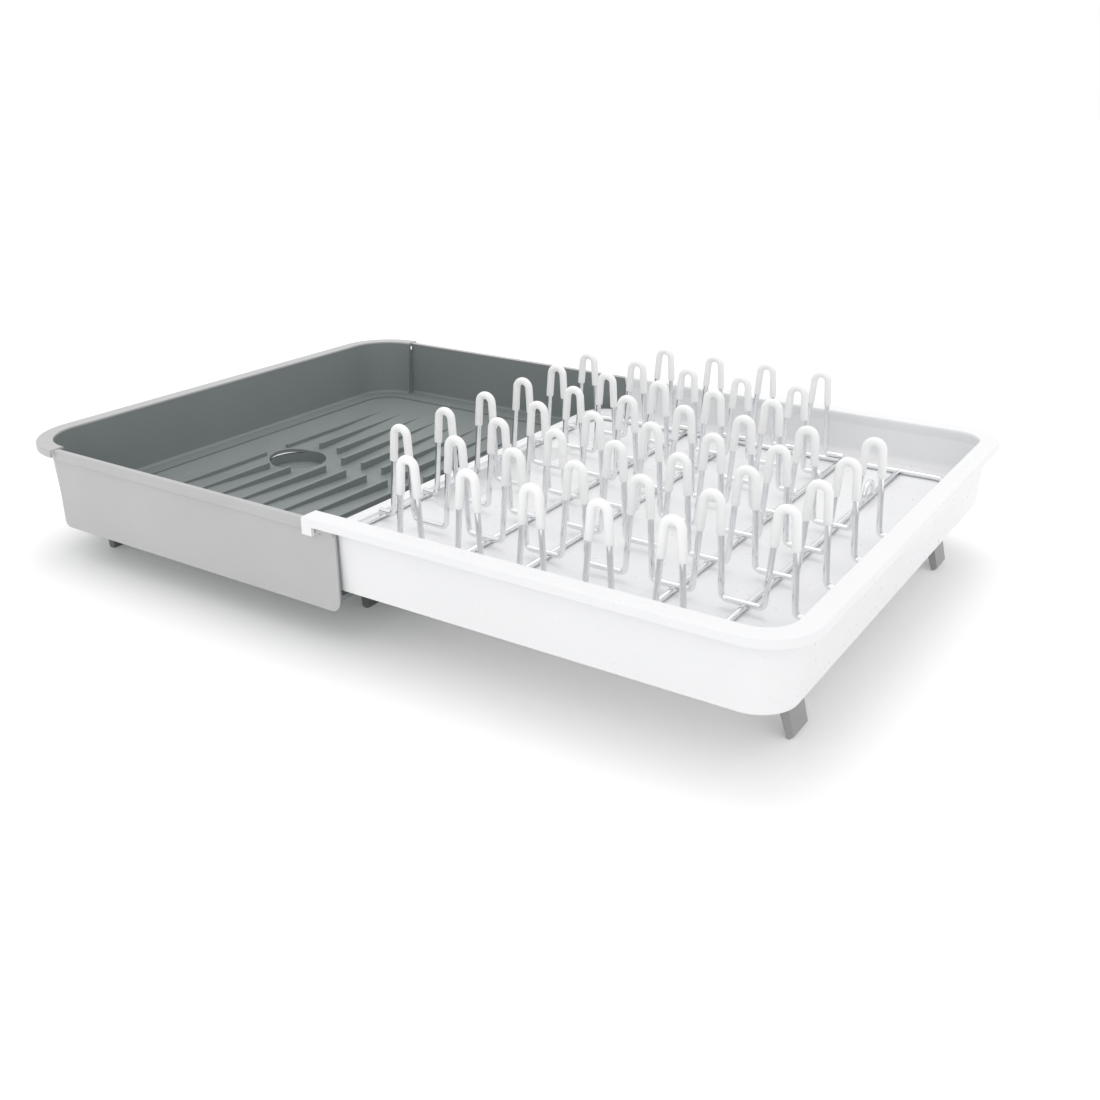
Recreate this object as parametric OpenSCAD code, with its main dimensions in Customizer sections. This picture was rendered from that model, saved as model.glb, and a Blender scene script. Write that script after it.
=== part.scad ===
// Extending drying rack. A white main tray carries a lift-out wire rack with
// coated prongs. A grey extension tray slides out from under it, catches the
// run-off and drains through a well and a swivelling spout.
// Millimetres. X is the slide direction, +X towards the main tray, +Y to the
// back, +Z up. The origin is on the table under the middle of the open rack.

/* [Overall] */
// Width over the rims, front to back
width = 364; // [360:1:370]
// Length with the extension tray pulled out
length_open = 538; // [536:1:542]
// Travel of the extension tray
travel = 213.5; // [210:0.5:213.5]

/* [Main tray] */
// Height of the main rim above the table
rim_z = 76.5; // [76:0.5:80]
// Width of the main rim
rim_w = 12.4; // [11:0.2:13]
// Depth of the rim's outer fascia
fascia_h = 5; // [4:0.5:6]
// Top of the main floor
main_floor_z = 47.6; // [46:0.2:47.6]
// Bottom edge of the main tray's skirt
main_skirt_z = 34; // [33.8:0.1:35]
// Rim corner radius of the main tray
main_corner_r = 30; // [28:1:32]
// Top of the low end wall
low_wall_z = 50.5; // [50:0.5:52]

/* [Extension tray] */
// Top of the flange at the closed end
ext_rim_z = 75; // [74.5:0.1:76]
// Top of the sliding walls
ext_wall_z = 74.3; // [73:0.1:74.3]
// Bottom edge of the walls
ext_skirt_z = 22; // [20:0.5:24]
// Rim corner radius of the extension tray
ext_corner_r = 42; // [40:0.5:42]
// Level of the ledge round the basin
ledge_z = 31.5; // [31:0.5:32]
// Level of the tops of the ribs
rib_z = 29.1; // [28.5:0.1:30]
// Spacing of the floor ribs
rib_pitch = 19.25; // [18:0.25:19.25]
// Radius of the drain well
well_r = 20.8; // [19:0.2:21]

/* [Rack] */
// Diameter of the wire
wire_d = 3.3; // [3:0.1:3.3]
// Outer diameter of the prong tips
tip_d = 4.8; // [4.6:0.1:5.2]
// Spacing of the prongs along a row
prong_pitch = 39.3; // [38.5:0.1:39.5]
// Spacing of the rows
row_pitch = 41.75; // [41:0.25:42]
// Top of the prongs
prong_top_z = 109.3; // [105:0.1:112]
// Slope of the prong legs in degrees
splay = 3.9; // [3:0.1:4.5]
// Length of the tips, measured down from their tops
tip_len = 23; // [20:1:26]

/* [Feet and spout] */
// Width of a foot, front to back
foot_w = 18.7; // [16:0.1:20]
// Length of the spout's arm
spout_len = 88; // [84:1:90]

/* [Hidden] */
$fn = 72;

MAIN_COLOR = "white";
EXT_COLOR = "#8f9894";
WIRE_COLOR = "silver";
TIP_COLOR = "whitesmoke";
FOOT_COLOR = "dimgray";

wire_r = wire_d / 2;
tip_r = tip_d / 2;
half_w = width / 2;
right_x = length_open / 2;
left_x = -right_x;
eps = 0.02;             // running clearance of a sleeve on its wire
sheet_t = 2.4;          // thickness of both trays' floors and skirts
edge_r = 1.2;           // rounding of the rims' outer edges
soft_r = 0.5;           // rounding of all other moulded edges
fascia_t = 2;           // thickness of the rims' fascias

// Main tray, insets are measured inward from the rim's outer edge
flange_len = 42.5;      // length of the extension tray's flanged end
slide_gap = 0.4;        // clearance between the two trays
main_left_x = left_x + flange_len + slide_gap + travel;  // end of the full-height walls
rim_t = 1.8;
wall_top_in = 7.4;
wall_bottom_in = 9.2;
floor_fillet = 5;
floor_edge_x = 3.8;       // free edge of the floor, over the gutter
tongue_x = -37.7;       // outside of the low end wall
tongue_half_w = 168.8;
tongue_r = 24;
band_w = 9.6;             // width of the low end wall's top
gutter_half_y = 40;     // centres of the gutter's round ends
gutter_w = 31.4;        // width of the gutter, from the floor's edge
gutter_z = 36;          // lowest line of the gutter
slot_w = 6;             // drain slot along the floor's edge
hook_len = 7;           // length of the hook tabs along X

// Extension tray
ext_end_x = main_left_x - travel - slide_gap;  // right end of the flange
ext_right_x = 6.6;      // open end of the tray
ext_rim_w = 10.4;
ext_wall_out = 4.7;     // insets of the wall's outer face
ext_slide_in = 6.9;     // and of its inner face where the main tray slides
ext_end_out = 8;        // insets of the closed end's outer face at its top
ext_end_foot = 10.4;    // and at its bottom
ext_end_t = 2.4;        // thickness of that wall
bead_in = 2.8;
bead_h = 6;
web_t = 2.4;            // web between the closed end's wall and a slide wall
wall_end_r = 7;         // rounding of the slide walls' lower end corners
basin_x = -243;         // closed end of the sunk basin
basin_half_w = 155;
basin_r = 20;
basin_edge_z = 30.3;    // basin floor at its edges
channel_z = 23.4;       // and in the channel along its middle
channel_half_w = 8;
channel_x = -198;       // end of the channel, at the foot of the closed end's slope
stop_len = 2;           // stop under the bead, which meets the hook tab
stop_h = 1.1;
skirt_r = 5;            // rounding of the closed end's lower edge
rib_x0 = -217.8;
rib_count = 11;
rib_t = 3;
rib_in = 10;            // inner ends of the ribs
RIBS_BY_WELL = [12, 28, 26.5];    // inner ends of the three pairs beside the well
rib_out = 130;
well_x = -196;
well_z = 15.5;
drain_r = 3.75;
nipple_r = 6;
nipple_z = 7;
snap_z = 8.6;           // middle of the spout's snap bead
snap_h = 0.5;

// Rack
base_z = 49.5;                      // centre of the frame and the base rods
link_z = base_z + wire_d;           // centre of the rows' links
arch_r = 4.75;                      // centre line of a prong's top
knuckle = 0.05;                     // how far the ball in a bend stands proud
arch_z = prong_top_z - tip_r - arch_r;
foot_dx = arch_r / cos(splay) + (arch_z - link_z) * tan(splay);
column_x0 = -6.4;                   // first column of prongs
frame_x0 = -24;
frame_x1 = 244.5;
frame_r = 12;
frame_half_y = 3.5 * row_pitch;
tail_over = 1;                      // a tail passes the wire it rests on
short_tail = 8;
ROW_COLS = [[1, 5], [0, 6], [0, 6], [0, 6], [0, 6], [0, 4], [0, 4], [1, 4]];
ROD_AFTER = [1, 2, 4, 5];           // the column to the left of each rod
loop_y = 84;
loop_r = 8;
loop_z = 60;

// Feet and spout
main_foot_y = 129.4 - foot_w / 2;
main_foot_top_x = 231;
main_foot_lean = 10.9;
main_foot_t_top = 9.5;
main_foot_t = 4.5;
ext_foot_t = 7.4;
ext_foot_z = 20;                    // top of the extension tray's feet
boss_z = 27.9;                      // top of their bosses, inside the floor
EXT_FEET = [[-221, 142.6], [-18.5, 120.5]];   // left and right pair
hub_r = 8.8;
hub_z0 = 3;
hub_z1 = 12.9;
cup_z = 5;
trough_w = 12;
trough_in = 9;
trough_z = 10;

function column_x(i) = column_x0 + i * prong_pitch;
function row_y(i) = (i - 3.5) * row_pitch;
function rod_x(i) = column_x(ROD_AFTER[i]) + prong_pitch / 2;

// ---------------------------------------------------------------- helpers

// Sweeps a cross-section round the closed +X end of a tray. The section's x
// is the distance out from the corner's centre, its y is the height.
module wrap_end(x_from, x_end, half_y, r) {
  for (side = [0, 1]) mirror([0, side, 0]) {
    translate([x_from, half_y - r, 0]) rotate([90, 0, 90])
      linear_extrude(x_end - r - x_from) children();
    translate([x_end - r, half_y - r, 0]) rotate_extrude(angle = 90) children();
  }
  translate([x_end - r, half_y - r, 0]) rotate([90, 0, 0])
    linear_extrude(2 * (half_y - r)) children();
}

// Straight walls along both sides, from the same kind of section
module both_sides(x_from, x_to, half_y, r) {
  for (side = [0, 1]) mirror([0, side, 0])
    translate([x_from, half_y - r, 0]) rotate([90, 0, 90])
      linear_extrude(x_to - x_from) children();
}

// Flat outline with two round corners at its +X end
module end_plan(x_from, x_end, half_y, r) {
  translate([x_from, -half_y]) square([x_end - r - x_from, 2 * half_y]);
  translate([x_from, -half_y + r]) square([x_end - x_from, 2 * (half_y - r)]);
  for (side = [-1, 1]) translate([x_end - r, side * (half_y - r)]) circle(r);
}

// Rounds the convex corners of a section
module softened() {
  offset(r = soft_r, $fn = 16) offset(delta = -soft_r) children();
}

module wire_x(x0, x1, r = wire_r) {
  translate([x0, 0, 0]) rotate([0, 90, 0]) cylinder(h = x1 - x0, r = r, $fn = 48);
}

module wire_y(y0, y1, r = wire_r) {
  translate([0, y0, 0]) rotate([-90, 0, 0]) cylinder(h = y1 - y0, r = r, $fn = 48);
}

// A bend in the plane of X and Z, from angle a0 over a sweep
module bend_xz(radius, a0, sweep, r = wire_r) {
  rotate([90, 0, 0]) rotate([0, 0, a0])
    rotate_extrude(angle = sweep) translate([radius, 0]) circle(r, $fn = 48);
}

// ---------------------------------------------------------------- main tray

// Section of the rim, wall, skirt and the start of the floor
module main_section() {
  r = main_corner_r;
  in_top = wall_top_in + 2.6;
  in_floor = wall_bottom_in + 2.4;
  under = main_floor_z - sheet_t;
  softened() polygon(concat(
    [[r, rim_z - fascia_h], [r, rim_z - edge_r]],
    [for (a = [15:15:90]) [r - edge_r + edge_r * cos(a), rim_z - edge_r + edge_r * sin(a)]],
    [[r - rim_w + 0.6, rim_z], [r - rim_w, rim_z - 0.6], [r - rim_w, rim_z - rim_t - 0.4]],
    [[r - in_top, rim_z - 8]],
    [for (a = [0:15:90]) [
      r - in_floor - floor_fillet + floor_fillet * cos(a),
      main_floor_z + floor_fillet - floor_fillet * sin(a)]],
    [[r - in_floor - floor_fillet, under], [r - in_floor, under]],
    [[r - in_floor, main_skirt_z], [r - wall_bottom_in, main_skirt_z]],
    [[r - wall_top_in, rim_z - rim_t], [r - fascia_t, rim_z - rim_t]],
    [[r - fascia_t, rim_z - fascia_h]]
  ));
}

// Section of the low end wall with its flat top band
module band_section() {
  r = tongue_r;
  under = main_floor_z - sheet_t;
  softened() polygon(concat(
    [[r, main_skirt_z], [r, low_wall_z - edge_r]],
    [for (a = [15:15:90]) [r - edge_r + edge_r * cos(a), low_wall_z - edge_r + edge_r * sin(a)]],
    [[r - band_w + 0.4, low_wall_z], [r - band_w - 1.6, main_floor_z]],
    [[r - band_w - 4, main_floor_z], [r - band_w - 4, under]],
    [[r - sheet_t, under], [r - sheet_t, main_skirt_z]]
  ));
}

// Radius of the gutter's dished side, which is level at its foot
dish_foot = slot_w + 2;
dish_rise = main_floor_z - gutter_z;
dish_run = gutter_w - dish_foot;
dish_r = (dish_run * dish_run + dish_rise * dish_rise) / (2 * dish_rise);

module dish_section(shell, z_top) {
  intersection() {
    translate([dish_foot, gutter_z + dish_r]) circle(dish_r + shell, $fn = 180);
    translate([dish_foot, gutter_z - shell]) square([gutter_w, z_top - gutter_z + shell]);
  }
}

// The gutter's section is measured from the floor's edge towards -X
module along_gutter() {
  translate([floor_edge_x, gutter_half_y, 0]) mirror([1, 0, 0]) rotate([90, 0, 0])
    linear_extrude(2 * gutter_half_y) children();
  for (side = [0, 1]) mirror([0, side, 0])
    translate([floor_edge_x, gutter_half_y, 0]) rotate([0, 0, 90])
      rotate_extrude(angle = 90) children();
}

module gutter_shell() {
  along_gutter() {
    dish_section(sheet_t - 0.2, main_floor_z);
    translate([slot_w, gutter_z - sheet_t + 0.2]) square([2.1, sheet_t - 0.2]);
  }
}

module gutter_pocket() {
  along_gutter() {
    dish_section(0, low_wall_z + 1);
    translate([0, gutter_z]) square([dish_foot + eps, low_wall_z + 1 - gutter_z]);
  }
}

// Tab at the end of the rim that hooks under the extension tray's bead
module rim_hook() {
  tab_z = ext_wall_z - bead_h - 1.6;
  tab_y = half_w - bead_in + slide_gap;
  translate([main_left_x, tab_y, tab_z])
    cube([hook_len, half_w - tab_y, rim_z - fascia_h - tab_z + 1]);
  translate([main_left_x, tab_y - 1.2, tab_z]) cube([hook_len, 1.8, 1.2]);
}

module main_tray() {
  color(MAIN_COLOR) {
    wrap_end(main_left_x, right_x, half_w, main_corner_r) main_section();
    difference() {
      union() {
        translate([0, 0, main_floor_z - sheet_t]) linear_extrude(sheet_t)
          end_plan(0, right_x - 15, half_w - 15, main_corner_r - 15);
        mirror([1, 0, 0]) wrap_end(-main_left_x, -tongue_x, tongue_half_w, tongue_r)
          band_section();
        translate([0, 0, main_floor_z - sheet_t]) linear_extrude(sheet_t) mirror([1, 0, 0])
          end_plan(-eps, -tongue_x - band_w, tongue_half_w - band_w, tongue_r - band_w);
        gutter_shell();
      }
      gutter_pocket();
    }
    for (side = [0, 1]) mirror([0, side, 0]) rim_hook();
  }
}

// ----------------------------------------------------------- extension tray

// Section at the closed end, with the flange
module ext_end_section() {
  r = ext_corner_r;
  z = ext_rim_z;
  under = ledge_z - sheet_t;
  softened() polygon(concat(
    [[r, z - fascia_h], [r, z - edge_r]],
    [for (a = [15:15:90]) [r - edge_r + edge_r * cos(a), z - edge_r + edge_r * sin(a)]],
    [[r - ext_rim_w, z], [r - ext_end_out - ext_end_t, z - 2]],
    [for (a = [0:15:90]) [
      r - ext_end_foot - ext_end_t - 2 + 2 * cos(a), ledge_z + 2 - 2 * sin(a)]],
    [[r - ext_end_foot - ext_end_t - 4, ledge_z], [r - ext_end_foot - ext_end_t - 4, under]],
    [[r - ext_end_foot - ext_end_t, under]],
    [for (a = [0:15:90]) [r - ext_end_foot - skirt_r + (skirt_r - ext_end_t) * cos(a),
      ext_skirt_z + skirt_r - (skirt_r - ext_end_t) * sin(a)]],
    [for (a = [90:-15:0]) [r - ext_end_foot - skirt_r + skirt_r * cos(a),
      ext_skirt_z + skirt_r - skirt_r * sin(a)]],
    [[r - ext_end_out, z - rim_t]],
    [[r - fascia_t, z - rim_t], [r - fascia_t, z - fascia_h]]
  ));
}

// Section of the web that joins the closed end's wall to a slide wall
module web_section() {
  r = ext_corner_r;
  polygon([
    [r - ext_end_foot - ext_end_t, ext_skirt_z], [r - ext_wall_out - 0.2, ext_skirt_z],
    [r - ext_wall_out, ext_wall_z - bead_h], [r - ext_end_out - ext_end_t, ext_wall_z - bead_h],
  ]);
}

// Section of the walls that the main tray slides in
module ext_slide_section() {
  r = ext_corner_r;
  under = ledge_z - sheet_t;
  softened() polygon(concat(
    [[r - ext_wall_out - 0.2, ext_skirt_z], [r - ext_wall_out, ext_wall_z - bead_h - 1]],
    [[r - bead_in, ext_wall_z - bead_h], [r - bead_in, ext_wall_z - 0.6]],
    [[r - bead_in - 0.6, ext_wall_z], [r - ext_slide_in, ext_wall_z]],
    [for (a = [0:15:90]) [
      r - ext_slide_in - 2 + 2 * cos(a), ledge_z + 2 - 2 * sin(a)]],
    [[r - ext_end_foot - ext_end_t - 4, ledge_z], [r - ext_end_foot - ext_end_t - 4, under]],
    [[r - ext_wall_out - sheet_t, under], [r - ext_wall_out - sheet_t, ext_skirt_z]]
  ));
}

// Sections of the basin across the tray and along it, from the floor up
module basin_across(drop, half_y, top) {
  polygon([
    [-half_y, top], [-half_y, basin_edge_z - drop], [-channel_half_w, channel_z - drop],
    [channel_half_w, channel_z - drop], [half_y, basin_edge_z - drop], [half_y, top],
  ]);
}

module basin_along(drop, x_from, x_to, top) {
  polygon([
    [x_from, top], [x_from, basin_edge_z - drop], [basin_x, basin_edge_z - drop],
    [channel_x, channel_z - drop], [x_to, channel_z - drop], [x_to, top],
  ]);
}

// The basin falls from its long edges and from its closed end
module basin_block(grow, drop, top, x_to) {
  half_y = basin_half_w + grow;
  intersection() {
    mirror([1, 0, 0]) linear_extrude(top) end_plan(-x_to, -basin_x + grow, half_y, basin_r + grow);
    translate([basin_x - grow, 0, 0]) rotate([90, 0, 90])
      linear_extrude(x_to - basin_x + grow) basin_across(drop, half_y, top);
    translate([0, half_y, 0]) rotate([90, 0, 0])
      linear_extrude(2 * half_y) basin_along(drop, basin_x - grow, x_to, top);
  }
}

// Section of a rib, with its foot sunk in the floor
module rib_section() {
  softened() translate([-rib_t / 2, channel_z - 1]) square([rib_t, rib_z - channel_z + 1]);
}

module floor_rib(x, y_in) {
  for (side = [0, 1]) mirror([0, side, 0]) translate([x, 0, 0]) {
    translate([0, rib_out, 0]) rotate([90, 0, 0]) linear_extrude(rib_out - y_in) rib_section();
    for (y = [y_in, rib_out]) translate([0, y, 0]) rotate_extrude($fn = 32) intersection() {
      rib_section();
      square([rib_t, rib_z + 1]);
    }
  }
}

// The ribs end in the sheet of the sloping floor
module floor_ribs() {
  intersection() {
    for (i = [0:rib_count - 1])
      floor_rib(rib_x0 + i * rib_pitch, i < len(RIBS_BY_WELL) ? RIBS_BY_WELL[i] : rib_in);
    basin_block(sheet_t, sheet_t, ledge_z, ext_right_x);
  }
}

module ext_floor() {
  floor_in = ext_end_foot + ext_end_t + 1;
  difference() {
    union() {
      translate([0, 0, ledge_z - sheet_t]) linear_extrude(sheet_t) mirror([1, 0, 0])
        end_plan(-ext_right_x, -left_x - floor_in, half_w - floor_in, ext_corner_r - floor_in);
      basin_block(sheet_t, sheet_t, ledge_z, ext_right_x);
      translate([well_x, 0, well_z - sheet_t + 0.2])
        cylinder(h = channel_z - well_z + 1, r = well_r + 2);
      translate([well_x, 0, nipple_z]) cylinder(h = well_z - nipple_z, r = nipple_r);
      translate([well_x, 0, snap_z]) rotate_extrude()
        polygon([[drain_r + 1, -1], [nipple_r, -1], [nipple_r + snap_h, 0], [nipple_r, 1],
          [drain_r + 1, 1]]);
    }
    basin_block(0, 0, ledge_z + 1, ext_right_x - sheet_t);
    translate([well_x, 0, well_z]) cylinder(h = ledge_z, r = well_r);
    translate([well_x, 0, 0]) cylinder(h = ledge_z, r = drain_r);
  }
}

module ext_foot_bosses() {
  for (foot = EXT_FEET, side = [-1, 1])
    translate([foot[0] - ext_foot_t / 2, side * foot[1] - foot_w / 2, ext_foot_z])
      cube([ext_foot_t, foot_w, boss_z - ext_foot_z]);
}

module slide_stop() {
  translate([main_left_x + hook_len + slide_gap, half_w - ext_wall_out - 0.2,
    ext_wall_z - bead_h - stop_h])
    cube([stop_len, ext_wall_out - bead_in + 0.2, stop_h + 0.2]);
}

// What a rounded lower corner leaves over, at the +X end of a wall
module corner_waste(r) {
  translate([-r, 0, ext_skirt_z]) difference() {
    translate([0, -half_w, -1]) cube([r + 1, width, r + 1]);
    translate([0, 0, r]) rotate([90, 0, 0]) cylinder(h = width + 2, r = r, center = true);
  }
}

// Slide walls with their lower end corners rounded off, and the webs at
// their closed ends
module slide_walls() {
  difference() {
    union() {
      both_sides(ext_end_x - web_t, ext_end_x, half_w, ext_corner_r) web_section();
      both_sides(ext_end_x, ext_right_x, half_w, ext_corner_r) ext_slide_section();
    }
    translate([ext_right_x, 0, 0]) corner_waste(wall_end_r);
    translate([ext_end_x - web_t, 0, 0]) mirror([1, 0, 0]) corner_waste(skirt_r);
  }
}

module extension_tray() {
  color(EXT_COLOR) {
    mirror([1, 0, 0]) wrap_end(-ext_end_x, -left_x, half_w, ext_corner_r) ext_end_section();
    slide_walls();
    ext_floor();
    floor_ribs();
    ext_foot_bosses();
    for (side = [0, 1]) mirror([0, side, 0]) slide_stop();
  }
}

// --------------------------------------------------------------------- rack

module rack_frame() {
  x0 = frame_x0 + frame_r;
  x1 = frame_x1 - frame_r;
  y1 = frame_half_y - frame_r;
  color(WIRE_COLOR) translate([0, 0, base_z]) {
    for (side = [-1, 1]) translate([0, side * frame_half_y, 0]) wire_x(x0, x1);
    for (x = [frame_x0, frame_x1]) translate([x, 0, 0]) wire_y(-y1, y1);
    for (corner = [[x1, y1, 0], [x0, y1, 90], [x0, -y1, 180], [x1, -y1, 270]])
      translate([corner[0], corner[1], 0]) rotate([0, 0, corner[2]])
        rotate_extrude(angle = 90) translate([frame_r, 0]) circle(wire_r, $fn = 48);
  }
}

module base_rod(i) {
  end_y = frame_half_y - wire_r;
  color(WIRE_COLOR) translate([rod_x(i), 0, base_z]) wire_y(-end_y, end_y);
}

leg_top_z = arch_z + arch_r * sin(splay);
leg_len = (leg_top_z - link_z) / cos(splay);

// The top of a prong and its two legs, joined by balls a little proud of
// the wire, so that the pieces overlap
module prong_arch(len, r) {
  translate([0, 0, arch_z]) bend_xz(arch_r, splay, 180 - 2 * splay, r);
  for (side = [0, 1]) mirror([side, 0, 0])
    translate([arch_r * cos(splay), 0, leg_top_z]) {
      sphere(r + knuckle, $fn = 48);
      rotate([0, 180 - splay, 0]) translate([0, 0, r / 10])
        cylinder(h = len - r / 10, r = r, $fn = 48);
    }
}

module prong_wire() {
  prong_arch(leg_len, wire_r);
  for (side = [-1, 1]) translate([side * foot_dx, 0, link_z]) sphere(wire_r + knuckle, $fn = 48);
}

function tail_left(row) =
  ROW_COLS[row][0] == 0 ? frame_x0 - tail_over
  : column_x(ROW_COLS[row][0]) - foot_dx - short_tail;
function tail_right(row) =
  ROW_COLS[row][1] == 6 ? frame_x1 + tail_over
  : rod_x(ROW_COLS[row][1] == 5 ? 3 : 2) + tail_over;

module prong_row(row) {
  first = ROW_COLS[row][0];
  last = ROW_COLS[row][1];
  color(WIRE_COLOR) translate([0, row_y(row), 0]) {
    for (i = [first:last]) translate([column_x(i), 0, 0]) prong_wire();
    for (i = [first:last - 1]) translate([0, 0, link_z])
      wire_x(column_x(i) + foot_dx, column_x(i + 1) - foot_dx);
    translate([0, 0, link_z]) {
      wire_x(tail_left(row), column_x(first) - foot_dx);
      wire_x(column_x(last) + foot_dx, tail_right(row));
    }
  }
}

module prong_tips(row) {
  sleeve = (leg_top_z - (prong_top_z - tip_len)) / cos(splay);
  color(TIP_COLOR) translate([0, row_y(row), 0])
    for (i = [ROW_COLS[row][0]:ROW_COLS[row][1]]) translate([column_x(i), 0, 0])
      difference() {
        prong_arch(sleeve, tip_r);
        prong_arch(sleeve + 1, wire_r + eps);
      }
}

// Small bare arch that stands across the last rod's top
module rod_loop() {
  leg = loop_z - loop_r - base_z - wire_r;
  color(WIRE_COLOR) translate([rod_x(3), loop_y, 0]) rotate([0, 0, 90]) {
    translate([0, 0, loop_z - loop_r]) bend_xz(loop_r, 0, 180);
    for (side = [-1, 1]) translate([side * loop_r, 0, base_z + wire_r])
      cylinder(h = leg, r = wire_r, $fn = 48);
  }
}

// ----------------------------------------------------------- feet and spout

// Leaning leg under the main tray's floor, wider at its top
module main_foot(side) {
  top = main_floor_z - sheet_t;
  x1 = main_foot_top_x + main_foot_t_top;
  foot_x = x1 + main_foot_lean;
  bevel = 2;
  color(FOOT_COLOR) translate([0, side * main_foot_y + foot_w / 2, 0]) rotate([90, 0, 0])
    linear_extrude(foot_w) polygon([
      [main_foot_top_x, top], [foot_x - main_foot_t, bevel], [foot_x - main_foot_t + 0.5, 0],
      [foot_x - bevel, 0], [foot_x, bevel], [x1, top],
    ]);
}

module ext_foot(foot, side) {
  color(FOOT_COLOR) translate([foot[0], side * foot[1] + foot_w / 2, 0]) rotate([90, 0, 0])
    linear_extrude(foot_w) polygon([
      [-ext_foot_t / 2, ext_foot_z], [-ext_foot_t / 2 + 1, 1], [-ext_foot_t / 2 + 2, 0],
      [ext_foot_t / 2 - 2, 0], [ext_foot_t / 2 - 1, 1], [ext_foot_t / 2, ext_foot_z],
    ]);
}

// Trough that turns on the nipple under the well, stowed towards the back
module drain_spout() {
  bore = nipple_r + 0.08;
  color(EXT_COLOR) translate([well_x, 0, 0]) difference() {
    union() {
      translate([0, 0, hub_z0]) cylinder(h = hub_z1 - hub_z0, r = hub_r);
      translate([-trough_w / 2, 0, hub_z0]) cube([trough_w, spout_len, trough_z - hub_z0]);
    }
    translate([0, 0, cup_z]) cylinder(h = hub_z1, r = bore);
    translate([0, 0, snap_z]) rotate_extrude()
      polygon([[bore - 1, -1.3], [bore, -1.3], [bore + snap_h + 0.1, 0], [bore, 1.3],
        [bore - 1, 1.3]]);
    translate([-trough_in / 2, hub_r - 0.6, cup_z]) cube([trough_in, spout_len, trough_z]);
    translate([-trough_in / 2, 0, cup_z]) cube([trough_in, hub_r, nipple_z - cup_z]);
  }
}

main_tray();
extension_tray();
rack_frame();
base_rod(0);  // base_rod_1
base_rod(1);  // base_rod_2
base_rod(2);  // base_rod_3
base_rod(3);  // base_rod_4
prong_row(0);  // prong_row_a
prong_row(1);  // prong_row_b
prong_row(2);  // prong_row_c
prong_row(3);  // prong_row_d
prong_row(4);  // prong_row_e
prong_row(5);  // prong_row_f
prong_row(6);  // prong_row_g
prong_row(7);  // prong_row_h
prong_tips(0);  // prong_tips_a
prong_tips(1);  // prong_tips_b
prong_tips(2);  // prong_tips_c
prong_tips(3);  // prong_tips_d
prong_tips(4);  // prong_tips_e
prong_tips(5);  // prong_tips_f
prong_tips(6);  // prong_tips_g
prong_tips(7);  // prong_tips_h
rod_loop();
main_foot(-1);  // main_foot_front
main_foot(1);  // main_foot_back
ext_foot(EXT_FEET[0], -1);  // extension_foot_front_left
ext_foot(EXT_FEET[1], -1);  // extension_foot_front_right
ext_foot(EXT_FEET[0], 1);  // extension_foot_back_left
ext_foot(EXT_FEET[1], 1);  // extension_foot_back_right
drain_spout();
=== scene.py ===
"""Looks of an extending bottle drying rack: two moulded trays, a wire rack with coated prongs, feet and a
drain spout. Metres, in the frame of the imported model: +X along the slide, +Y to the back, +Z up."""

import math

import bmesh
import bpy
from mathutils import Matrix, Vector


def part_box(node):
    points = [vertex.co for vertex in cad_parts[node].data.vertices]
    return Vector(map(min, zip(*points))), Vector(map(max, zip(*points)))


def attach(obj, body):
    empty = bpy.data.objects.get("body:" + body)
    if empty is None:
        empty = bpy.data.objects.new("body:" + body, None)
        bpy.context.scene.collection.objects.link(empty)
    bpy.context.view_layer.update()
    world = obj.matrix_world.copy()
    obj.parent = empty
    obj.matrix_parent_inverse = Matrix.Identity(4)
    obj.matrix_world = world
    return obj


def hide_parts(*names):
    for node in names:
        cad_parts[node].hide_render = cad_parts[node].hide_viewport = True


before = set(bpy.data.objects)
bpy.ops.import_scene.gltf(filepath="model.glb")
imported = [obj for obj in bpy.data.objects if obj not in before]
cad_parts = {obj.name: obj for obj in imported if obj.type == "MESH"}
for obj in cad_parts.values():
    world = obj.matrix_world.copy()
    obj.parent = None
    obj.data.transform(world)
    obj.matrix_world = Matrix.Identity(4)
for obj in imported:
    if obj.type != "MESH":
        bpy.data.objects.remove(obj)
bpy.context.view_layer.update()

MM = 0.001

# ------------------------------------------------------------------ sizes
# The wire rack, as it is bent, cut and coated
WIRE_R = 1.65 * MM
TIP_R = 2.4 * MM
TIP_LEN = 23 * MM
PITCH = 39.3 * MM
ARCH_R = 4.75 * MM
SPLAY = math.radians(3.9)
BASE_BEND_R = 3.2 * MM
FRAME_BEND_R = 12 * MM
LOOP_R = 8 * MM
LOOP_SINK = 0.4 * MM
CUT_NOSE = 0.5 * MM
SLEEVE_NOSE = 1.1 * MM
ROWS = "abcdefgh"
ROD_COUNT = 4

# Fineness of the round shapes
WIRE_SIDES = 20
TIP_SIDES = 24
ARC_STEPS = 16
FRAME_BEND_STEPS = 14

# Half sizes of the welds in millimetres, at the rods' ends and where a row lies on a wire
END_WELD = (1.5, 0.9, 1.2)
ROW_WELD = (1.25, 1.25, 0.7)

# Edge rounding of the pieces whose CAD edges are sharp
SPOUT_BEVEL = 0.5 * MM
FOOT_BEVEL = 0.9 * MM

# The extension tray's walls: the corner and length of its flanged end, the middles of both walls'
# thickness measured inward from the rim, how much the end wall leans in, and the depth of the rim's edge
# These sizes only place the painted shade on the faces inside the extension tray
END_CORNER_R = 42 * MM
END_WALL_INSET = 9.2 * MM
END_WALL_SLOPE = 0.047
SLIDE_WALL_INSET = 5.9 * MM
FLANGE_LEN = 42.4 * MM
RIM_BAND = 1.3 * MM

# Camera and stage, angles in degrees
CAMERA_AT = (0.41465, -0.60002, 0.30472)
CAMERA_AZIMUTH = 32.76
CAMERA_ELEVATION = 22.97
CAMERA_ROLL = 0.18
CAMERA_LENS = 38.4
FLOOR_SIZE = 12


# -------------------------------------------------------------- materials

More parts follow.
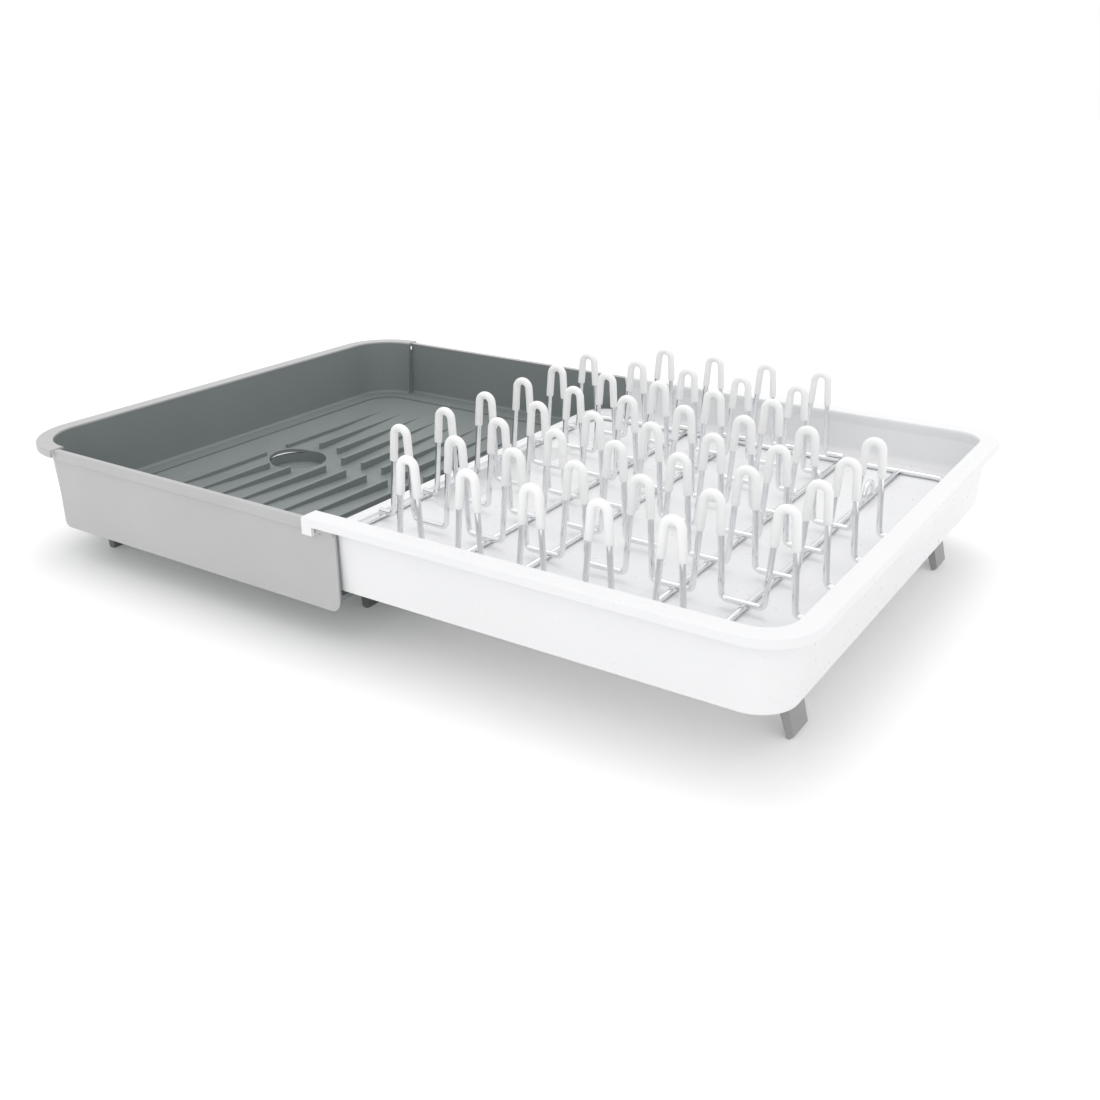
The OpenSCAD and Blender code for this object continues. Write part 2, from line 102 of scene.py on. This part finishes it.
def new_material(name, color, roughness, metallic=0.0):
    """A principled material, with the node tree and the shader that the recipes below use."""
    mat = bpy.data.materials.new(name)
    mat.use_nodes = True
    tree = mat.node_tree
    shader = tree.nodes["Principled BSDF"]
    shader.inputs["Base Color"].default_value = (*color, 1)
    shader.inputs["Roughness"].default_value = roughness
    shader.inputs["Metallic"].default_value = metallic
    mat.diffuse_color = (*color, 1)
    return mat, tree, shader


def noise(tree, scale, detail=3.0, roughness=0.5):
    """A noise texture in the object's own space, with features of about 1 / scale metres."""
    coord = tree.nodes.new("ShaderNodeTexCoord")
    texture = tree.nodes.new("ShaderNodeTexNoise")
    texture.inputs["Scale"].default_value = scale
    texture.inputs["Detail"].default_value = detail
    texture.inputs["Roughness"].default_value = roughness
    tree.links.new(coord.outputs["Object"], texture.inputs["Vector"])
    return texture


def vary(tree, source, low, high, target):
    """Feeds a texture to a shader input, spread between two values."""
    spread = tree.nodes.new("ShaderNodeMapRange")
    spread.inputs["From Min"].default_value = 0.3
    spread.inputs["From Max"].default_value = 0.7
    spread.inputs["To Min"].default_value = low
    spread.inputs["To Max"].default_value = high
    tree.links.new(source.outputs["Fac"], spread.inputs["Value"])
    tree.links.new(spread.outputs["Result"], target)


def vary_color(tree, source, low, high, target):
    """Feeds a texture to a colour input, spread between two colours."""
    ramp = tree.nodes.new("ShaderNodeValToRGB")
    ramp.color_ramp.elements[0].position = 0.3
    ramp.color_ramp.elements[1].position = 0.7
    ramp.color_ramp.elements[0].color = (*low, 1)
    ramp.color_ramp.elements[1].color = (*high, 1)
    tree.links.new(source.outputs["Fac"], ramp.inputs["Fac"])
    tree.links.new(ramp.outputs["Color"], target)


def add_bump(tree, shader, sources, distance):
    """Bumps the surface by one or more textures, each with its strength."""
    previous = None
    for texture, strength in sources:
        bump = tree.nodes.new("ShaderNodeBump")
        bump.inputs["Strength"].default_value = strength
        bump.inputs["Distance"].default_value = distance
        tree.links.new(texture.outputs["Fac"], bump.inputs["Height"])
        if previous:
            tree.links.new(previous.outputs["Normal"], bump.inputs["Normal"])
        previous = bump
    tree.links.new(previous.outputs["Normal"], shader.inputs["Normal"])


def shade(color, factor):
    return tuple(channel * factor for channel in color)


def make_white_plastic():
    color = (0.81, 0.812, 0.822)
    mat, tree, shader = new_material("white_plastic", color, 0.3)
    shader.inputs["Specular IOR Level"].default_value = 0.45
    cloud = noise(tree, 18, 2)
    vary_color(tree, cloud, shade(color, 0.985), color, shader.inputs["Base Color"])
    vary(tree, noise(tree, 260, 4), 0.27, 0.36, shader.inputs["Roughness"])
    add_bump(tree, shader, [(noise(tree, 2200, 2), 0.05), (noise(tree, 35, 1), 0.05)], 0.0004)
    return mat


def math_node(tree, operation, first, second=None):
    """One step of arithmetic. Each value is a number or the output of another node."""
    node = tree.nodes.new("ShaderNodeMath")
    node.operation = operation
    for socket, value in zip(node.inputs, (first, second)):
        if isinstance(value, (int, float)):
            socket.default_value = value
        elif value is not None:
            tree.links.new(value, socket)
    return node.outputs["Value"]


def painted_shade_mask_inside_tray(tree):
    """Mask of the painted shade: 1 on the faces that look into the extension tray and 0 on its outside,
    from the place in the tray.

    The faces are told apart by the middle of the wall's thickness: a round-cornered outline that leans in
    towards its foot at the closed end, and straight slide walls."""
    low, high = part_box("extension_tray")
    coord = tree.nodes.new("ShaderNodeTexCoord")
    split = tree.nodes.new("ShaderNodeSeparateXYZ")
    tree.links.new(coord.outputs["Object"], split.inputs["Vector"])
    x, y, z = split.outputs

    def step(operation, first, second=None):
        return math_node(tree, operation, first, second)

    across = step("ABSOLUTE", y)
    past_x = step("MAXIMUM", step("SUBTRACT", low[0] + END_CORNER_R, x), 0.0)
    past_y = step("MAXIMUM", step("SUBTRACT", across, high[1] - END_CORNER_R), 0.0)
    squares = step("ADD", step("POWER", past_x, 2.0), step("POWER", past_y, 2.0))
    lean = step("MULTIPLY", step("SUBTRACT", high[2], z), END_WALL_SLOPE)
    reach = step("ADD", step("SQRT", squares), lean)
    in_end = step("LESS_THAN", reach, END_CORNER_R - END_WALL_INSET)
    in_slide = step("LESS_THAN", across, high[1] - SLIDE_WALL_INSET)
    is_slide = step("GREATER_THAN", x, low[0] + FLANGE_LEN)
    is_end = step("SUBTRACT", 1.0, is_slide)
    below_rim = step("LESS_THAN", z, high[2] - RIM_BAND)
    chosen = step("MAXIMUM", step("MULTIPLY", in_slide, is_slide), step("MULTIPLY", in_end, is_end))
    return step("MULTIPLY", chosen, below_rim)


def make_grey_plastic():
    """Light grey plastic outside, with painted shade: a darker grey painted on the faces that look into
    the extension tray.
    """
    outside = (0.465, 0.465, 0.47)
    # Painted shade: this darker grey stands for the shade that falls inside the tray
    painted_shade_grey = (0.21, 0.232, 0.232)
    mat, tree, shader = new_material("grey_plastic", outside, 0.42)
    shader.inputs["Specular IOR Level"].default_value = 0.4
    cloud = noise(tree, 22, 3)
    mix = tree.nodes.new("ShaderNodeMix")
    mix.data_type = "RGBA"
    # The mask lays the painted shade on the tray's inside faces and keeps the plain grey outside
    tree.links.new(painted_shade_mask_inside_tray(tree), mix.inputs["Factor"])
    for color, socket in ((outside, mix.inputs["A"]), (painted_shade_grey, mix.inputs["B"])):
        vary_color(tree, cloud, shade(color, 0.97), shade(color, 1.02), socket)
    tree.links.new(mix.outputs["Result"], shader.inputs["Base Color"])
    vary(tree, noise(tree, 320, 4), 0.37, 0.48, shader.inputs["Roughness"])
    add_bump(tree, shader, [(noise(tree, 2600, 2), 0.12), (noise(tree, 30, 1), 0.05)], 0.0004)
    return mat


def make_chrome():
    color = (0.83, 0.84, 0.85)
    mat, tree, shader = new_material("chrome_wire", color, 0.09, metallic=1.0)
    vary(tree, noise(tree, 140, 5), 0.06, 0.16, shader.inputs["Roughness"])
    add_bump(tree, shader, [(noise(tree, 420, 2), 0.04)], 0.0002)
    return mat


def make_tip_coating():
    color = (0.88, 0.885, 0.88)
    mat, tree, shader = new_material("tip_coating", color, 0.38)
    shader.inputs["Subsurface Weight"].default_value = 0.08
    shader.inputs["Subsurface Radius"].default_value = (0.0012, 0.0011, 0.001)
    vary(tree, noise(tree, 500, 3), 0.32, 0.45, shader.inputs["Roughness"])
    add_bump(tree, shader, [(noise(tree, 900, 2), 0.1)], 0.0002)
    return mat


def make_leg_plastic():
    """The grey of the main tray's two legs."""
    color = (0.33, 0.325, 0.325)
    mat, tree, shader = new_material("leg_plastic", color, 0.45)
    cloud = noise(tree, 60, 3)
    vary_color(tree, cloud, shade(color, 0.94), shade(color, 1.05), shader.inputs["Base Color"])
    vary(tree, noise(tree, 320, 4), 0.4, 0.52, shader.inputs["Roughness"])
    add_bump(tree, shader, [(noise(tree, 2400, 2), 0.12)], 0.0004)
    return mat


def make_foot_rubber():
    color = (0.13, 0.137, 0.137)
    mat, tree, shader = new_material("foot_rubber", color, 0.62)
    cloud = noise(tree, 90, 3)
    vary_color(tree, cloud, shade(color, 0.8), shade(color, 1.15), shader.inputs["Base Color"])
    vary(tree, noise(tree, 400, 3), 0.55, 0.72, shader.inputs["Roughness"])
    add_bump(tree, shader, [(noise(tree, 1800, 3), 0.25)], 0.0004)
    return mat


def make_floor_white():
    color = (0.95, 0.95, 0.95)
    mat, _, shader = new_material("floor_white", color, 0.7)
    shader.inputs["Emission Color"].default_value = (1, 1, 1, 1)
    shader.inputs["Emission Strength"].default_value = 0.09
    shader.inputs["Specular IOR Level"].default_value = 0.2
    return mat


MATERIALS = {
    "white_plastic": make_white_plastic(),
    "grey_plastic": make_grey_plastic(),
    "chrome_wire": make_chrome(),
    "tip_coating": make_tip_coating(),
    "leg_plastic": make_leg_plastic(),
    "foot_rubber": make_foot_rubber(),
}


# ------------------------------------------------------------ mesh helpers

def arc(centre, radius, start, end, steps):
    """Points of an arc in the X-Z plane, angles from +X towards +Z."""
    points = []
    for i in range(steps + 1):
        angle = start + (end - start) * i / steps
        points.append(centre + Vector((radius * math.cos(angle), 0, radius * math.sin(angle))))
    return points


def rounded(corners, radius, steps=7, closed=False):
    """A path through the corners with each bend rounded to the radius."""
    count = len(corners)
    points = []
    for i, corner in enumerate(corners):
        if not closed and i in (0, count - 1):
            points.append(corner.copy())
            continue
        to_last = (corners[i - 1] - corner).normalized()
        to_next = (corners[(i + 1) % count] - corner).normalized()
        half = to_last.angle(to_next) / 2
        centre = corner + (to_last + to_next).normalized() * radius / math.sin(half)
        first = corner + to_last * radius / math.tan(half) - centre
        last = corner + to_next * radius / math.tan(half) - centre
        turn = first.angle(last)
        axis = first.cross(last).normalized()
        for k in range(steps + 1):
            points.append(centre + Matrix.Rotation(turn * k / steps, 3, axis) @ first)
    return points


def tube(bm, path, radii, sides, closed=False):
    """Adds a round tube along a path. radii is one radius or one for each point."""
    count = len(path)
    if not isinstance(radii, (list, tuple)):
        radii = [radii] * count
    tangents = []
    for i in range(count):
        before = path[i - 1] if i or closed else path[0]
        after = path[(i + 1) % count] if i < count - 1 or closed else path[-1]
        tangents.append((after - before).normalized())
    side = tangents[0].orthogonal().normalized()
    rings = []
    for i in range(count):
        side = (side - tangents[i] * side.dot(tangents[i])).normalized()
        other = tangents[i].cross(side)
        ring = []
        for k in range(sides):
            angle = 2 * math.pi * k / sides
            offset = side * math.cos(angle) + other * math.sin(angle)
            ring.append(bm.verts.new(path[i] + offset * radii[i]))
        rings.append(ring)
    joints = count if closed else count - 1
    for i in range(joints):
        ring, following = rings[i], rings[(i + 1) % count]
        for k in range(sides):
            bm.faces.new((ring[k], ring[(k + 1) % sides], following[(k + 1) % sides], following[k]))
    if not closed:
        bm.faces.new(list(reversed(rings[0])))
        bm.faces.new(rings[-1])


def finish_mesh(name, bm, slot_name, body, nodes=()):
    """Turns a bmesh into a smooth piece that rides on a body and stands for the CAD nodes."""
    bmesh.ops.recalc_face_normals(bm, faces=bm.faces)
    mesh = bpy.data.meshes.new(name)
    bm.to_mesh(mesh)
    bm.free()
    mesh.shade_smooth()
    piece = bpy.data.objects.new(name, mesh)
    bpy.context.scene.collection.objects.link(piece)
    mesh.materials.append(MATERIALS[slot_name])
    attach(piece, body)
    if nodes:
        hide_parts(*nodes)
    return piece


def sharp_caps(piece, degrees=50):
    """Keeps the flat ends of a smooth tube crisp."""
    piece.data.set_sharp_from_angle(angle=math.radians(degrees))


# -------------------------------------------------------------- wire rack

def eased(path, radius, ends, nose):
    """Rounds over both ends of a tube. Returns the path and its radii."""
    head_way = (path[1] - path[0]).normalized()
    tail_way = (path[-2] - path[-1]).normalized()
    head = [path[0] + head_way * nose * share for share, _ in ends]
    tail = [path[-1] + tail_way * nose * share for share, _ in reversed(ends)]
    sizes = [radius * size for _, size in ends]
    middle = path[1:-1]
    return head + middle + tail, sizes + [radius] * len(middle) + sizes[::-1]


# Steps of a rounded end: a share of the nose's length and a share of the radius
CUT_END = [(0, 0.72), (0.3, 0.92), (1, 1)]
SLEEVE_END = [(0, 0.7), (0.12, 0.86), (0.45, 0.97), (1, 1)]


def leg_offset(drop):
    """How far a prong's leg stands from its middle, at a drop below the arch's centre."""
    return ARCH_R / math.cos(SPLAY) + drop * math.tan(SPLAY)


def row_columns(row):
    """Middles of the row's prongs along X, from the box of its tips."""
    low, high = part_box("prong_tips_" + row)
    arch_z = high[2] - TIP_R - ARCH_R
    half = leg_offset(arch_z - high[2] + TIP_LEN) + TIP_R * math.cos(SPLAY)
    count = round((high[0] - low[0] - 2 * half) / PITCH) + 1
    middle = (low[0] + high[0]) / 2
    return [middle + (i - (count - 1) / 2) * PITCH for i in range(count)], arch_z


def row_y(row):
    low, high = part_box("prong_tips_" + row)
    return (low[1] + high[1]) / 2


def link_height():
    """Height of the rows' middle line, which lies on the frame's wire."""
    frame_low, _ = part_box("rack_frame")
    return frame_low[2] + 3 * WIRE_R


def prong_arch(x, y, arch_z):
    return arc(Vector((x, y, arch_z)), ARCH_R, math.pi - SPLAY, SPLAY, ARC_STEPS)


def make_row(row):
    """One bent wire with all its prongs."""
    low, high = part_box("prong_row_" + row)
    y, z = row_y(row), link_height()
    columns, arch_z = row_columns(row)
    along = Vector((PITCH / 2, 0, 0))
    foot = leg_offset(arch_z - z)
    path = [Vector((low[0], y, z))]
    for x in columns:
        top = prong_arch(x, y, arch_z)
        left, right = Vector((x - foot, y, z)), Vector((x + foot, y, z))
        path += rounded([left - along, left, top[0]], BASE_BEND_R)[1:-1]
        path += top
        path += rounded([top[-1], right, right + along], BASE_BEND_R)[1:-1]
    path.append(Vector((high[0], y, z)))
    bm = bmesh.new()
    tube(bm, *eased(path, WIRE_R, CUT_END, CUT_NOSE), WIRE_SIDES)
    piece = finish_mesh("wire_row_" + row, bm, "chrome_wire", "rack", ["prong_row_" + row])
    sharp_caps(piece)


def make_tips(row):
    """The coated tips of one row."""
    columns, arch_z = row_columns(row)
    y = row_y(row)
    drop = TIP_LEN - TIP_R - ARCH_R
    reach = leg_offset(drop)
    bm = bmesh.new()
    for x in columns:
        ends = [Vector((x + side * reach, y, arch_z - drop)) for side in (-1, 1)]
        path = [ends[0]] + prong_arch(x, y, arch_z) + [ends[1]]
        tube(bm, *eased(path, TIP_R, SLEEVE_END, SLEEVE_NOSE), TIP_SIDES)
    piece = finish_mesh("coated_tips_" + row, bm, "tip_coating", "rack", ["prong_tips_" + row])
    sharp_caps(piece, 60)


def make_frame():
    """The perimeter wire with its four bends."""
    low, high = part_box("rack_frame")
    inset = Vector((WIRE_R, WIRE_R, WIRE_R))
    near, far = Vector(low) + inset, Vector(high) - inset
    plan = [(near.x, near.y), (far.x, near.y), (far.x, far.y), (near.x, far.y)]
    corners = [Vector((x, y, near.z)) for x, y in plan]
    path = rounded(corners, FRAME_BEND_R, FRAME_BEND_STEPS, closed=True)
    bm = bmesh.new()
    tube(bm, path, WIRE_R, WIRE_SIDES, closed=True)
    finish_mesh("frame_wire", bm, "chrome_wire", "rack", ["rack_frame"])


def make_rod(index):
    """One cross wire under the rows."""
    name = "base_rod_" + str(index)
    low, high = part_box(name)
    x, z = (low[0] + high[0]) / 2, (low[2] + high[2]) / 2
    bm = bmesh.new()
    path = [Vector((x, low[1], z)), Vector((x, high[1], z))]
    tube(bm, *eased(path, WIRE_R, CUT_END, CUT_NOSE), WIRE_SIDES)
    piece = finish_mesh("cross_" + name, bm, "chrome_wire", "rack", [name])
    sharp_caps(piece)


def make_loop():
    """The small bare arch, its feet sunk a little in the rod as a weld would."""
    low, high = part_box("rod_loop")
    x, y = (low[0] + high[0]) / 2, (low[1] + high[1]) / 2
    centre_z = high[2] - WIRE_R - LOOP_R
    path = [Vector((x, y - LOOP_R, low[2] - LOOP_SINK))]
    for i in range(ARC_STEPS + 1):
        angle = math.pi - math.pi * i / ARC_STEPS
        path.append(Vector((x, y + LOOP_R * math.cos(angle), centre_z + LOOP_R * math.sin(angle))))
    path.append(Vector((x, y + LOOP_R, low[2] - LOOP_SINK)))
    bm = bmesh.new()
    tube(bm, path, WIRE_R, WIRE_SIDES)
    piece = finish_mesh("wire_loop", bm, "chrome_wire", "rack", ["rod_loop"])
    sharp_caps(piece)


def make_welds():
    """Small welds where the wires cross."""
    frame_low, frame_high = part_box("rack_frame")
    top = frame_high[2]
    bm = bmesh.new()
    rods = [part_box("base_rod_" + str(i)) for i in range(1, ROD_COUNT + 1)]
    for low, high in rods:
        x = (low[0] + high[0]) / 2
        for y in (low[1], high[1]):
            weld(bm, (x, y, top - WIRE_R), END_WELD)
    for row in ROWS[1:-1]:
        low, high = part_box("prong_row_" + row)
        spots = [(rod[0][0] + rod[1][0]) / 2 for rod in rods]
        spots += [frame_low[0] + WIRE_R, frame_high[0] - WIRE_R]
        for x in spots:
            if low[0] < x < high[0]:
                weld(bm, (x, row_y(row), top), ROW_WELD)
    finish_mesh("rack_welds", bm, "chrome_wire", "rack")


def weld(bm, place, size):
    """A small flattened bead, its half sizes in millimetres."""
    scale = Matrix.Diagonal((size[0] * MM, size[1] * MM, size[2] * MM, 1))
    matrix = Matrix.Translation(place) @ scale
    bmesh.ops.create_uvsphere(bm, u_segments=12, v_segments=8, radius=1, matrix=matrix)


# ---------------------------------------------------------- moulded pieces

def dress_cad(node, slot_name, bevel=0, segments=3):
    """Gives a CAD node its material and, where a bevel is given, softens its edges."""
    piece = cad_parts[node]
    for slot in piece.material_slots:
        slot.material = MATERIALS[slot_name]
    if not bevel:
        return
    weld_modifier = piece.modifiers.new("weld", "WELD")
    weld_modifier.merge_threshold = 0.00002
    soften = piece.modifiers.new("soften", "BEVEL")
    soften.width = bevel
    soften.segments = segments
    soften.limit_method = "ANGLE"
    soften.angle_limit = math.radians(32)
    soften.harden_normals = True
    soften.use_clamp_overlap = True


# ------------------------------------------------------------------- stage

def make_floor():
    bpy.ops.mesh.primitive_plane_add(size=FLOOR_SIZE, location=(0, 0, 0))
    floor = bpy.context.object
    floor.name = "studio_floor"
    floor.data.materials.append(make_floor_white())


def area_light(name, place, target, size, watts):
    """A rectangular softbox at a place, turned to its target."""
    data = bpy.data.lights.new(name, "AREA")
    data.shape = "RECTANGLE"
    data.size, data.size_y = size
    data.energy = watts
    lamp = bpy.data.objects.new(name, data)
    bpy.context.scene.collection.objects.link(lamp)
    lamp.location = place
    lamp.rotation_mode = "QUATERNION"
    lamp.rotation_quaternion = (Vector(target) - Vector(place)).to_track_quat("-Z", "Y")


def make_lights():
    world = bpy.data.worlds.new("studio")
    bpy.context.scene.world = world
    world.use_nodes = True
    background = world.node_tree.nodes["Background"]
    background.inputs["Color"].default_value = (1, 1, 1, 1)
    background.inputs["Strength"].default_value = 1.0
    area_light("top_softbox", (-0.2, 0.4, 1.6), (0, 0, 0), (1.2, 1.2), 6)
    area_light("front_softbox", (0.3, -2.0, 0.9), (0, 0, 0.05), (1.4, 0.8), 3)


def make_camera():
    data = bpy.data.cameras.new("camera")
    data.lens = CAMERA_LENS
    data.sensor_width = 36
    data.clip_start = 0.01
    data.clip_end = 50
    camera = bpy.data.objects.new("camera", data)
    bpy.context.scene.collection.objects.link(camera)
    azimuth, elevation = math.radians(CAMERA_AZIMUTH), math.radians(CAMERA_ELEVATION)
    back = Vector((
        math.sin(azimuth) * math.cos(elevation),
        -math.cos(azimuth) * math.cos(elevation),
        math.sin(elevation),
    ))
    camera.location = CAMERA_AT
    camera.rotation_mode = "QUATERNION"
    level = (-back).to_track_quat("-Z", "Y").to_matrix()
    roll = Matrix.Rotation(math.radians(CAMERA_ROLL), 3, "Z")
    camera.rotation_quaternion = (level @ roll).to_quaternion()
    bpy.context.scene.camera = camera


# -------------------------------------------------------------------- main

make_camera()
make_floor()
make_lights()
bpy.context.scene.view_settings.view_transform = "Standard"

make_frame()
for number in range(1, ROD_COUNT + 1):
    make_rod(number)
for letter in ROWS:
    make_row(letter)
    make_tips(letter)
make_loop()
make_welds()

dress_cad("main_tray", "white_plastic")
dress_cad("extension_tray", "grey_plastic")
dress_cad("drain_spout", "grey_plastic", SPOUT_BEVEL)
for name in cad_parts:
    if "foot" in name:
        dress_cad(name, "leg_plastic" if "main" in name else "foot_rubber", FOOT_BEVEL)
